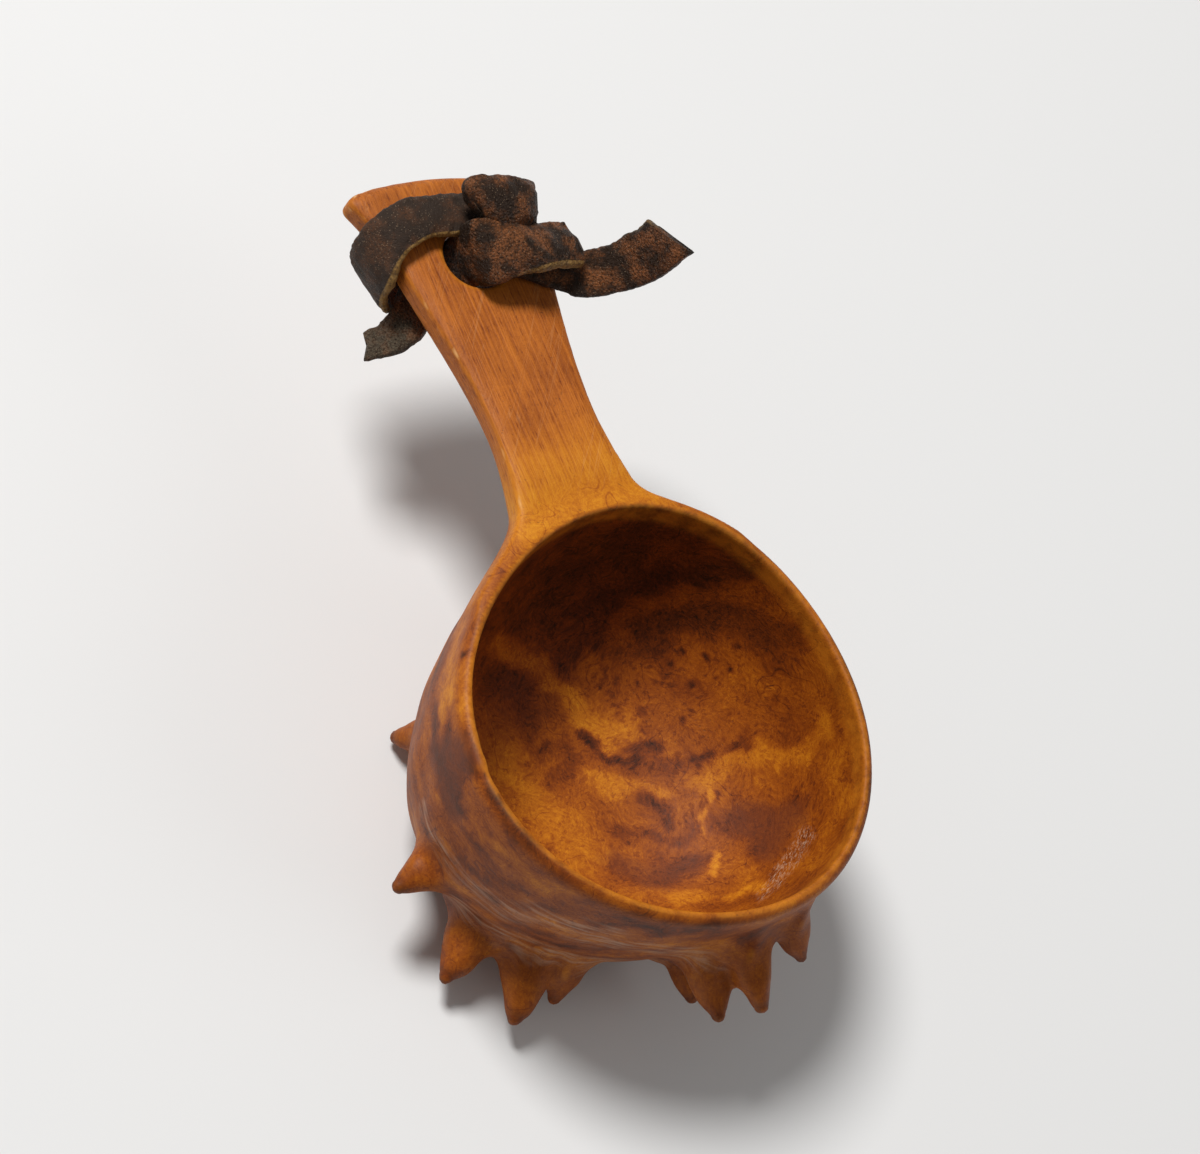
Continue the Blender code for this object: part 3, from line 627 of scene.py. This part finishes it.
# places on the bowl that the camera sees at picks in a part of the photo, to the nearest millimetre:
# the last point of each line of sight that is in the hollow, or the first that is in the outer bowl
def seenAt(picks, wall):
    bowl, corner, enlargement = figure[wall]
    right, up, back, eye = cameraAxes()
    pixels = np.array(corner) + np.array(picks, float) / enlargement
    focal = view["lens"] / view["sensor"] * view["photoWide"]
    across = (pixels[:, :1] - view["photoWide"] / 2) / focal
    rise = (view["photoHigh"] / 2 - pixels[:, 1:]) / focal
    sights = across * right + rise * up - back
    heights = cup["rimHeight"] + np.linspace(figure["sightFrom"], figure["sightTo"], figure["sightSteps"])
    spots = eye + ((heights[:, None] - eye[2]) / sights[:, 2])[..., None] * sights
    x, y, z = np.moveaxis(spots, 2, 0)
    within = (bowlField(x, y, z, *bowl) < 0) & (z <= cup["rimHeight"])
    chosen = within.argmax(axis=0)
    if bowl == innerBowl:
        chosen = len(heights) - 1 - within[::-1].argmax(axis=0)
    return np.round(spots[chosen, np.arange(len(picks))])


# distance from each point to a broken line
def lineGap(points, way):
    if len(way) == 1:
        return np.linalg.norm(points - way[0], axis=1)
    gaps = []
    for a, b in zip(way, way[1:]):
        run = b - a
        t = np.clip((points - a) @ run / (run @ run), 0.0, 1.0)
        gaps.append(np.linalg.norm(points - a - t[:, None] * run, axis=1))
    return np.min(gaps, axis=0)


# each mark pulls the value towards dark, 0, or golden, 1, with a soft edge
def drawMarks(points, value, wall, name, weight):
    for strength, half, places in figure[name]:
        way = seenAt(places, wall) if len(places[0]) == 2 else np.array(places, float)
        firm = weight * (figure["thinFirm"] if half < figure["thinHalf"] else 1.0)
        share = smoothStep(*figure["softEdge"], lineGap(points, way) / half) * abs(strength) * firm
        value = value + ((1.0 if strength > 0 else 0.0) - value) * share
    return value


def wave(points, amount, wavelength, seed):
    return amount * ripple(points, wavelength, seed)


# tone of the wood at each point: slow ripples, darker inside by the handle, partly as painted shade, and
# golden away from it, partly as painted light, with the marks drawn over them
def figureTone(points, inside, handlePart, thornShare):
    f = figure
    moved = points + wander(points, *f["bend"]) + wander(points, *f["fineBend"])
    x, y, z = moved.T
    flat = moved * np.array([1.0, 1.0, f["flatten"]])
    outer = f["outerTone"] + wave(flat, *f["outerWave"]) + wave(flat, *f["outerFineWave"])
    outer = drawMarks(moved, outer, "outerWall", "outside", f["outsideWeight"])
    outer = outer + (f["thornTone"] - outer) * smoothStep(*f["thornFrom"], thornShare)
    outer = outer - f["tipDark"] * smoothStep(*f["tipFrom"], thornShare)
    neck = smoothStep(*f["neckX"], x) * smoothStep(*f["neckZ"], z)
    outer = outer + (f["neckTone"] - outer) * f["neckShare"] * neck
    stem = f["stemTone"] + wave(moved, *f["stemWave"]) + f["rootGold"] * smoothStep(*f["rootX"], x)
    outer = outer + (stem - outer) * handlePart
    # inside: dark by the handle and golden towards the front, both partly painted shade and light
    inner = f["innerToneAndShade"] + f["frontGoldAndLight"] * smoothStep(*f["frontX"], x) + wave(moved, *f["innerWave"])
    inner = inner + f["nearGold"] * smoothStep(*f["nearY"], y)
    inner = drawMarks(moved, inner, "innerWall", "inside", f["insideWeight"])
    moved = points + wander(points, *f["eyeBend"])
    inner = drawMarks(moved, inner, "innerWall", "eyes", f["eyeWeight"])
    return outer + (inner - outer) * inside


def makeCup():
    low, high = (np.array(corner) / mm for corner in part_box("carved_cup"))
    low, high = low - cup["margin"], high + cup["margin"]
    count = np.ceil((high - low) / cup["cell"]).astype(int) + 1
    points, faces = netSkin(gridField(low, count), low, cup["cell"])
    for _ in range(cup["drawPasses"]):
        slope = fieldSlope(points)
        move = slope * (cupField(points) / np.maximum((slope ** 2).sum(axis=1), cup["leastSlope"]))[:, None]
        points -= np.clip(move, -cup["drawMost"], cup["drawMost"])
    piece = newPiece("carved_burl_cup", points, faces.tolist())
    x, y, z = points.T
    hollow = bowlField(x, y, z, *innerBowl)
    inside = smoothStep(*cup["insideBand"], hollow) * (z > cup["insideLow"])
    thornShare = np.zeros(len(points))
    for root, tip, axis, foot in axesOfThorns:
        gap, share = thornField(points, root, tip, axis, foot)
        thornShare = np.maximum(thornShare, share * smoothStep(*cup["thornBand"], gap))
    outside = bowlField(x, y, z, *outerBowl)
    handlePart = smoothStep(*cup["handleBand"], outside) * smoothStep(*cup["handleFrom"], x)
    # bend of the skin, from the field a little way off on all sides: above zero on edges and tips
    around = sum(cupField(points + m) + cupField(points - m) for m in np.eye(3) * cup["bendReach"])
    moved = points + wander(points, *cup["maskBend"])
    none = np.zeros(len(points))
    redness = drawMarks(moved, none, "outerWall", "outsideRed", 1.0)
    masks = {
        "tone": figureTone(points, inside, handlePart, thornShare),
        "insideBowl": inside, "thornShare": thornShare, "handlePart": handlePart,
        "edgeBend": np.clip(around / cup["bendReach"] ** 2, -1.0, 1.0),
        # lip: the rim's top, where the worn golden line with its painted highlight is laid
        "lip": hump(*cup["lipBand"], hollow) * smoothStep(*cup["lipHeight"], z),
        "redness": drawMarks(moved, redness, "innerWall", "insideRed", 1.0),
        "paleWear": drawMarks(moved, none, "outerWall", "worn", 1.0 - inside),
        "scuff": drawMarks(moved, none, "innerWall", "scuff", inside),
    }
    for name, values in masks.items():
        storeMask(piece, name, values)
    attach(piece, "cup")
    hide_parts("carved_cup")
    print("cup: %d points, %d quads" % (len(points), len(faces)))
    return piece


burl = makeCup()


# helpers for materials

def add(tree, kind, inputs=None, **settings):
    made = tree.nodes.new(kind)
    for name, value in settings.items():
        setattr(made, name, value)
    for name, value in (inputs or {}).items():
        if isinstance(value, bpy.types.NodeSocket):
            tree.links.new(value, made.inputs[name])
        else:
            made.inputs[name].default_value = value
    return made


def calc(tree, operation, a, b=0.0, clamp=False):
    return add(tree, "ShaderNodeMath", {0: a, 1: b}, operation=operation, use_clamp=clamp).outputs[0]


def times(tree, value, *factors):
    for factor in factors:
        value = calc(tree, "MULTIPLY", value, factor)
    return value


# a value and the product of the factors, added up
def plus(tree, value, *factors):
    return calc(tree, "ADD", value, times(tree, *factors))


# 1 where a distance is zero, down to 0 at the given size
def peak(tree, distance, size):
    return calc(tree, "SUBTRACT", 1.0, calc(tree, "DIVIDE", distance, size), clamp=True)


def vectorCalc(tree, operation, a, b):
    return add(tree, "ShaderNodeVectorMath", {0: a, 1: b}, operation=operation).outputs[0]


def mixColour(tree, share, a, b):
    return add(tree, "ShaderNodeMix", {0: share, 6: a, 7: b}, data_type="RGBA").outputs[2]


# a colour laid over another, where the product of the factors says
def paint(tree, under, colour, *factors):
    return mixColour(tree, times(tree, *factors), under, (*colour, 1.0))


def between(tree, value, low, high, start=0.0, finish=1.0):
    inputs = {0: value, 1: low, 2: high, 3: start, 4: finish}
    return add(tree, "ShaderNodeMapRange", inputs, interpolation_type="SMOOTHSTEP").outputs[0]


def noise(tree, vector, scale, detail=3.0, rough=0.55, output="Fac"):
    inputs = {"Vector": vector, "Scale": scale, "Detail": detail, "Roughness": rough}
    return add(tree, "ShaderNodeTexNoise", inputs).outputs[output]


# noise read through a band
def patchy(tree, vector, kind, band):
    return between(tree, noise(tree, vector, *kind), *band)


# noise about zero
def swing(tree, vector, *kind):
    return calc(tree, "SUBTRACT", noise(tree, vector, *kind), 0.5)


# place on the object in millimetres
def placeMm(tree):
    return vectorCalc(tree, "MULTIPLY", add(tree, "ShaderNodeTexCoord").outputs["Object"], (1.0 / mm,) * 3)


def mask(tree, name):
    return add(tree, "ShaderNodeAttribute", attribute_name=name).outputs["Fac"]


def ramp(tree, value, stops):
    made = add(tree, "ShaderNodeValToRGB", {0: value})
    bar = made.color_ramp
    while len(bar.elements) < len(stops):
        bar.elements.new(0.5)
    for element, (place, colour) in zip(bar.elements, stops):
        element.position = place
        element.color = (*colour, 1.0)
    return made.outputs[0]


def newMaterial(name):
    made = bpy.data.materials.new(name)
    made.use_nodes = True
    return made, made.node_tree, made.node_tree.nodes["Principled BSDF"]


# the shader's colour, roughness, shine and relief, with the bump's strength and depth in metres
def finishShader(tree, shader, colour, rough, shine, height, bump):
    strength, deep = bump
    relief = add(tree, "ShaderNodeBump", {"Strength": strength, "Distance": deep, "Height": height})
    tree.links.new(colour, shader.inputs["Base Color"])
    tree.links.new(rough, shader.inputs["Roughness"])
    tree.links.new(relief.outputs[0], shader.inputs["Normal"])
    shader.inputs["Specular IOR Level"].default_value = shine


def newGroup(name, inputs):
    group = bpy.data.node_groups.new(name, "ShaderNodeTree")
    group.interface.new_socket("Vector", in_out="INPUT", socket_type="NodeSocketVector")
    for label in inputs:
        group.interface.new_socket(label, in_out="INPUT", socket_type="NodeSocketFloat")
    group.interface.new_socket("Mask", in_out="OUTPUT", socket_type="NodeSocketFloat")
    return group, group.nodes.new("NodeGroupInput").outputs, group.nodes.new("NodeGroupOutput").inputs["Mask"]


# the mask of a group, whose inputs after the vector are given in order
def useGroup(tree, group, vector, *values):
    return add(tree, "ShaderNodeGroup", dict(enumerate((vector, *values))), node_tree=group).outputs["Mask"]


# small bright or dark grains, one in some cells of a cell pattern
def speckGroup():
    group, given, out = newGroup("specks", ("Per mm", "Share", "Size"))
    cells = add(group, "ShaderNodeTexVoronoi", {"Vector": given["Vector"], "Scale": given["Per mm"]})
    picked = add(group, "ShaderNodeSeparateColor", {0: cells.outputs["Color"]}).outputs[0]
    chosen = calc(group, "LESS_THAN", picked, given["Share"])
    group.links.new(times(group, peak(group, cells.outputs["Distance"], given["Size"]), chosen), out)
    return group


# fine scratches: thin level lines of a stretched noise
def scratchGroup(detail=1.0, rough=0.4):
    group, given, out = newGroup("scratches", ("Scale", "Thin"))
    level = swing(group, given["Vector"], given["Scale"], detail, rough)
    group.links.new(peak(group, calc(group, "ABSOLUTE", level), given["Thin"]), out)
    return group


specks = speckGroup()
scratches = scratchGroup()


# oiled burl: the stored tone, broken up by bent noise, read through a bar of wood colours

wood = {
    "tones": (
        (0.00, (0.024, 0.006, 0.001)), (0.18, (0.082, 0.016, 0.002)), (0.38, (0.195, 0.039, 0.002)),
        (0.56, (0.325, 0.080, 0.003)), (0.74, (0.490, 0.155, 0.005)), (1.00, (0.690, 0.285, 0.012)),
    ),
    "handleDark": (0.15, 0.030, 0.004), "handleLight": (0.50, 0.138, 0.019), "purple": (0.125, 0.034, 0.014),
    # rimWearAndHighlight: golden of the worn lip and corners; on the lip it is also a painted highlight
    "pale": (0.47, 0.30, 0.20), "rimWearAndHighlight": (0.62, 0.215, 0.012), "scuff": (0.72, 0.56, 0.40),
    "nick": (0.78, 0.48, 0.20), "soot": (0.035, 0.014, 0.008), "cut": (0.75, 0.40, 0.17),
    # noises: scale per millimetre, detail and roughness; some with the band that they are read through
    "bend": (0.07, 2.0, 0.5), "broad": (0.13, 4.0, 0.6), "mottle": (0.5, 6.0, 0.72),
    "freckle": (1.4, 4.0, 0.68), "grain": (3.2, 3.0, 0.65), "contour": (0.10, 2.0, 0.5),
    "rings": (1.1, 5.0, 0.7), "fibre": (1.0, 4.0, 0.65),
    "streak": ((0.9, 6.0, 0.62), (0.40, 0.70)), "rub": ((0.25, 4.0, 0.6), (0.25, 0.7, 0.15, 1.0)),
    "scored": ((1.7, 5.0, 0.75), (0.48, 0.66)), "swirlPlaces": ((0.12,), (0.42, 0.60)),
    "porePlaces": ((0.16,), (0.38, 0.62)), "tipPlaces": ((0.5,), (0.35, 0.6)),
    # specks: per millimetre, share and size; scratches: scale and thinness
    "flecks": (1.0, 0.45, 0.42), "nicks": (0.8, 0.16, 0.5), "pores": (1.5, 0.16, 0.36),
    "swirls": (0.15, 0.010), "cuts": (1.0, 0.012),
    # stretches of the pattern along X, Y and Z
    "fibreRun": (0.05, 1.9, 1.9), "fleckRun": (0.34, 1.9, 1.9), "nickRun": (0.35, 1.0, 1.0),
    "cutRun": (0.02, 0.5, 0.5), "cutTurn": 0.62, "scoredRun": (0.7, 0.4, 1.4),
    "bendMm": 11.0, "contourTurns": 110.0, "ringTurns": 5.0, "ringBend": 16.0, "stemCalm": 0.8,
    # what each pattern adds to the tone
    "broadTone": 0.34, "mottleTone": 0.50, "freckleTone": 0.32, "grainTone": 0.26, "contourTone": 0.024,
    "ringTone": 0.42, "swirlTone": -0.20, "fibreTone": 0.62, "fleckTone": -0.20,
    # bands: value from and to, and where given the result from and to
    "patchBand": (0.03, 0.11), "patchTone": (0.0, 1.0, -0.09, -0.19), "tanBand": (0.35, 0.9),
    "tanX": (-66.0, -48.0, 0.75, 0.15), "cornerBand": (0.25, 0.8), "rubThorn": (0.6, 0.3, 0.2, 1.0),
    "tipShare": (0.86, 1.0),
    # how strongly each colour is laid on
    "redLaid": 0.62, "paleLaid": 0.72, "rubAndHighlightLaid": 0.55, "poreLaid": 0.6, "tipLaid": 0.35, "cutLaid": 0.12,
    "scuffLaid": 0.5,
    "rough": 0.52, "mottleRough": 0.25, "insideRough": 0.08, "shine": 0.22, "bump": (0.35, 0.0004),
    "fibreHigh": 1.5, "mottleHigh": 0.22, "ringHigh": 0.5, "grainHigh": 0.16, "poreHigh": -0.3,
}


def woodMaterial():
    w = wood
    made, tree, shader = newMaterial("oiled_burl")
    p = placeMm(tree)
    bend = vectorCalc(tree, "SUBTRACT", noise(tree, p, *w["bend"], "Color"), (0.5, 0.5, 0.5))
    q = vectorCalc(tree, "ADD", vectorCalc(tree, "MULTIPLY", bend, (w["bendMm"],) * 3), p)
    stem, within, thorny = (mask(tree, name) for name in ("handlePart", "insideBowl", "thornShare"))
    calm = calc(tree, "SUBTRACT", 1.0, times(tree, stem, w["stemCalm"]))
    # broad figure, mottling and fine grain added to the stored tone; less of them on the handle
    broad, mottle, freckle = (swing(tree, q, *w[name]) for name in ("broad", "mottle", "freckle"))
    grain = swing(tree, p, *w["grain"])
    tone = plus(tree, mask(tree, "tone"), grain, w["grainTone"])
    for pattern, amount in ((broad, "broadTone"), (mottle, "mottleTone"), (freckle, "freckleTone")):
        tone = plus(tree, tone, pattern, w[amount], calm)
    # contour lines of the bent noise: the burl's swirls
    contour = calc(tree, "SINE", times(tree, noise(tree, q, *w["contour"]), w["contourTurns"]))
    tone = plus(tree, tone, contour, w["contourTone"], calm)
    # thin lines round the bowl, level with the rim
    axes = add(tree, "ShaderNodeSeparateXYZ", {0: p}).outputs
    turned = times(tree, calc(tree, "ARCTAN2", axes[1], axes[0]), w["ringTurns"])
    level = plus(tree, axes[2], broad, w["ringBend"])
    ringed = add(tree, "ShaderNodeCombineXYZ", {0: turned, 1: level}).outputs[0]
    rings = swing(tree, ringed, *w["rings"])
    tone = plus(tree, tone, rings, w["ringTone"], calm)
    # dark feathered patches and thin dark swirls, off the handle
    patches = between(tree, mottle, *w["patchBand"])
    tone = plus(tree, tone, patches, between(tree, within, *w["patchTone"]), calm)
    swirls = useGroup(tree, scratches, q, *w["swirls"])
    tone = plus(tree, tone, swirls, patchy(tree, p, *w["swirlPlaces"]), w["swirlTone"], calm)
    # fibres along the handle, and short dark flecks between them
    fibre = swing(tree, vectorCalc(tree, "MULTIPLY", p, w["fibreRun"]), *w["fibre"])
    tone = plus(tree, tone, fibre, w["fibreTone"], stem)
    flecks = useGroup(tree, specks, vectorCalc(tree, "MULTIPLY", p, w["fleckRun"]), *w["flecks"])
    tone = plus(tree, tone, flecks, w["fleckTone"], stem)
    colour = ramp(tree, tone, w["tones"])
    tan = paint(tree, (*w["handleDark"], 1.0), w["handleLight"], between(tree, tone, *w["tanBand"]))
    colour = mixColour(tree, times(tree, stem, between(tree, axes[0], *w["tanX"])), colour, tan)
    colour = paint(tree, colour, w["purple"], mask(tree, "redness"), w["redLaid"])
    # pale rubbed streaks low on the outside
    hoops = add(tree, "ShaderNodeCombineXYZ", {0: turned, 1: axes[2]}).outputs[0]
    streak = patchy(tree, hoops, *w["streak"])
    colour = paint(tree, colour, w["pale"], mask(tree, "paleWear"), streak, w["paleLaid"])
    # rubbed edges: golden on the lip, worn and with a painted highlight of the rim's top, and worn golden on
    # sharp corners, less on the thorns
    corners = between(tree, mask(tree, "edgeBend"), *w["cornerBand"])
    rubbed = times(tree, calc(tree, "MAXIMUM", mask(tree, "lip"), corners), patchy(tree, p, *w["rub"]))
    colour = paint(tree, colour, w["rimWearAndHighlight"], rubbed, between(tree, thorny, *w["rubThorn"]), w["rubAndHighlightLaid"])
    # small pale nicks along the handle's edges
    nicks = useGroup(tree, specks, vectorCalc(tree, "MULTIPLY", p, w["nickRun"]), *w["nicks"])
    colour = paint(tree, colour, w["nick"], nicks, corners, stem)
    # dark dust in pores and on the thorns' tips
    pores = times(tree, useGroup(tree, specks, q, *w["pores"]), patchy(tree, p, *w["porePlaces"]))
    colour = paint(tree, colour, w["soot"], pores, w["poreLaid"])
    tips = times(tree, between(tree, thorny, *w["tipShare"]), patchy(tree, p, *w["tipPlaces"]))
    colour = paint(tree, colour, w["soot"], tips, w["tipLaid"])
    # scratches: long ones across the handle, pale ones in the scuffed place inside
    turning = {"Vector": p, "Axis": (0.0, 0.0, 1.0), "Angle": w["cutTurn"]}
    slanted = add(tree, "ShaderNodeVectorRotate", turning).outputs[0]
    cuts = useGroup(tree, scratches, vectorCalc(tree, "MULTIPLY", slanted, w["cutRun"]), *w["cuts"])
    colour = paint(tree, colour, w["cut"], cuts, w["cutLaid"], stem)
    scored = patchy(tree, vectorCalc(tree, "MULTIPLY", p, w["scoredRun"]), *w["scored"])
    colour = paint(tree, colour, w["scuff"], scored, mask(tree, "scuff"), w["scuffLaid"])
    rough = plus(tree, plus(tree, w["rough"], mottle, w["mottleRough"]), within, w["insideRough"])
    height = times(tree, fibre, stem, w["fibreHigh"])
    height = plus(tree, height, rings, calm, w["ringHigh"])
    for pattern, high in ((mottle, "mottleHigh"), (grain, "grainHigh"), (pores, "poreHigh")):
        height = plus(tree, height, pattern, w[high])
    finishShader(tree, shader, colour, rough, w["shine"], height, w["bump"])
    return made


# worn leather: smooth grain on one face, rough flesh on the other, ochre cut edges

leather = {
    "grain": (0.031, 0.018, 0.011), "flesh": (0.022, 0.010, 0.004), "rub": (0.235, 0.080, 0.024),
    "ochre": (0.30, 0.165, 0.045), "dust": (0.46, 0.32, 0.20), "suede": (0.11, 0.085, 0.055),
    # noises, specks, scratches and bands, as for the wood
    "cloud": ((0.22, 4.0, 0.6), (0.42, 0.64)), "fray": ((1.3, 4.0, 0.7), (0.30, 0.60, 0.2, 1.0)),
    "fine": (2.4, 4.0, 0.7), "nap": (5.0, 2.0, 0.6),
    "specks": (3.4, 0.20, 0.40), "creases": (0.55, 0.03), "pebbles": 1.9,
    "fineBand": (0.32, 0.60), "rubFlesh": (0.0, 1.0, 0.25, 0.95), "suedeRun": (14.0, 5.0),
    "suedeBand": (0.3, 0.7), "ochreBand": (0.62, 1.15), "dullFlesh": (0.0, 1.0, 0.56, 0.42),
    "highFlesh": (0.0, 1.0, 0.25, 1.0),
    "dustLaid": 0.62, "fineFray": 0.6, "fineRough": 0.15, "shine": 0.24, "bump": (0.9, 0.0008),
    "pebbleHigh": 0.5, "fineHigh": 0.6, "creaseHigh": -0.25, "napHigh": 0.35,
}


def leatherMaterial():
    k = leather
    made, tree, shader = newMaterial("worn_leather")
    p = placeMm(tree)
    flesh, cutEdge, run = (mask(tree, name) for name in ("fleshSide", "cutEdge", "runMm"))
    fine, nap = (noise(tree, p, *k[name]) for name in ("fine", "nap"))
    colour = paint(tree, (*k["grain"], 1.0), k["flesh"], flesh)
    # red-brown where it is rubbed, and paler suede towards the hanging end
    rubbed = times(tree, patchy(tree, p, *k["cloud"]), between(tree, fine, *k["fineBand"]))
    colour = paint(tree, colour, k["rub"], rubbed, between(tree, flesh, *k["rubFlesh"]))
    hanging = between(tree, run, *k["suedeRun"])
    colour = paint(tree, colour, k["suede"], hanging, between(tree, fine, *k["suedeBand"]))
    colour = paint(tree, colour, k["dust"], useGroup(tree, specks, p, *k["specks"]), k["dustLaid"])
    fray = between(tree, plus(tree, cutEdge, fine, k["fineFray"]), *k["ochreBand"])
    colour = paint(tree, colour, k["ochre"], fray, patchy(tree, p, *k["fray"]))
    rough = plus(tree, between(tree, flesh, *k["dullFlesh"]), fine, k["fineRough"])
    # pebbled grain with creases, stronger on the flesh side, and a fine nap
    pebbles = add(tree, "ShaderNodeTexVoronoi", {"Vector": p, "Scale": k["pebbles"]}).outputs["Distance"]
    height = plus(tree, times(tree, pebbles, k["pebbleHigh"]), fine, k["fineHigh"])
    height = plus(tree, height, useGroup(tree, scratches, p, *k["creases"]), k["creaseHigh"])
    height = times(tree, height, between(tree, flesh, *k["highFlesh"]))
    height = plus(tree, height, nap, k["napHigh"])
    finishShader(tree, shader, colour, rough, k["shine"], height, k["bump"])
    return made


burl.data.materials.append(woodMaterial())
strip.data.materials.append(leatherMaterial())
print("materials set")


# floor and lights, metres and watts

studio = {
    "floorSize": 4.0, "floorColour": (0.74, 0.735, 0.725), "floorRough": 0.9,
    "worldStrength": 0.23, "worldColour": (1.0, 1.0, 1.0), "middle": (-0.03, 0.0, 0.04),
    # name, direction from the cup, distance, size, watts
    "lamps": (
        ("key", (-0.58, -0.30, 0.95), 2.2, 0.65, 51.0),
        ("fill", (0.55, 0.75, 0.75), 2.2, 1.4, 5.0),
    ),
}


def makeFloor():
    half = studio["floorSize"] / 2
    mesh = bpy.data.meshes.new("floor")
    corners = [(-half, -half, 0), (half, -half, 0), (half, half, 0), (-half, half, 0)]
    mesh.from_pydata(corners, [], [(0, 1, 2, 3)])
    floor = bpy.data.objects.new("floor", mesh)
    bpy.context.scene.collection.objects.link(floor)
    made, _, shader = newMaterial("pale_floor")
    shader.inputs["Base Color"].default_value = (*studio["floorColour"], 1.0)
    shader.inputs["Roughness"].default_value = studio["floorRough"]
    mesh.materials.append(made)


def makeLights():
    world = bpy.data.worlds.new("studio")
    world.use_nodes = True
    background = world.node_tree.nodes["Background"]
    background.inputs["Strength"].default_value = studio["worldStrength"]
    background.inputs["Color"].default_value = (*studio["worldColour"], 1.0)
    bpy.context.scene.world = world
    for name, aim, distance, size, watts in studio["lamps"]:
        data = bpy.data.lights.new(name, "AREA")
        data.shape = "DISK"
        data.size = size
        data.energy = watts
        lamp = bpy.data.objects.new(name, data)
        away = unit(np.array(aim))
        side = unit(np.cross([0.0, 0.0, 1.0], away))
        place = away * distance + np.array(studio["middle"])
        lamp.matrix_world = placed(side, np.cross(away, side), away, place)
        bpy.context.scene.collection.objects.link(lamp)


makeFloor()
makeLights()
bpy.context.scene.view_settings.view_transform = "Standard"
print("studio set")
